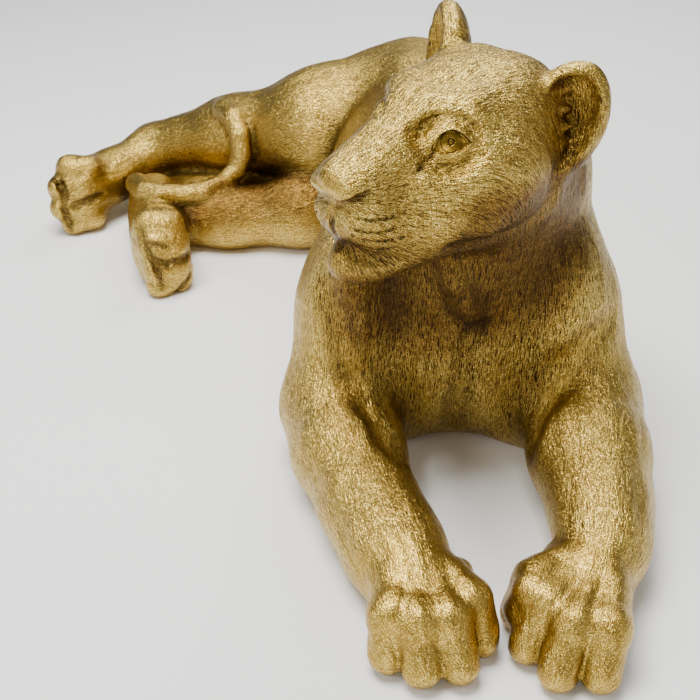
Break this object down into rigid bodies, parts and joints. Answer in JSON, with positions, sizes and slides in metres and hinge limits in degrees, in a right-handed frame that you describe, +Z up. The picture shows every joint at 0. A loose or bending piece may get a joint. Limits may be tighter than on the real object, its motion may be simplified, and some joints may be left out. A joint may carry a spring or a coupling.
{
  "type": "lying lioness figure",
  "caption": "Free-standing figure of a lying lioness with its head raised and turned, cast in one piece with a gold-leaf finish.",
  "frame": {"origin": "on the floor under the chest, on the flat underside", "axes": "+Z up, -Y from the chest towards the forepaws, +X to the lioness's left"},
  "size_m": [0.844, 1.1628, 0.5118],
  "materials": {
    "gold_leaf": "gold leaf with a brown patina in the recesses"
  },
  "bodies": {
    "root": {"lioness": "gold_leaf"}
  },
  "joints": []
}
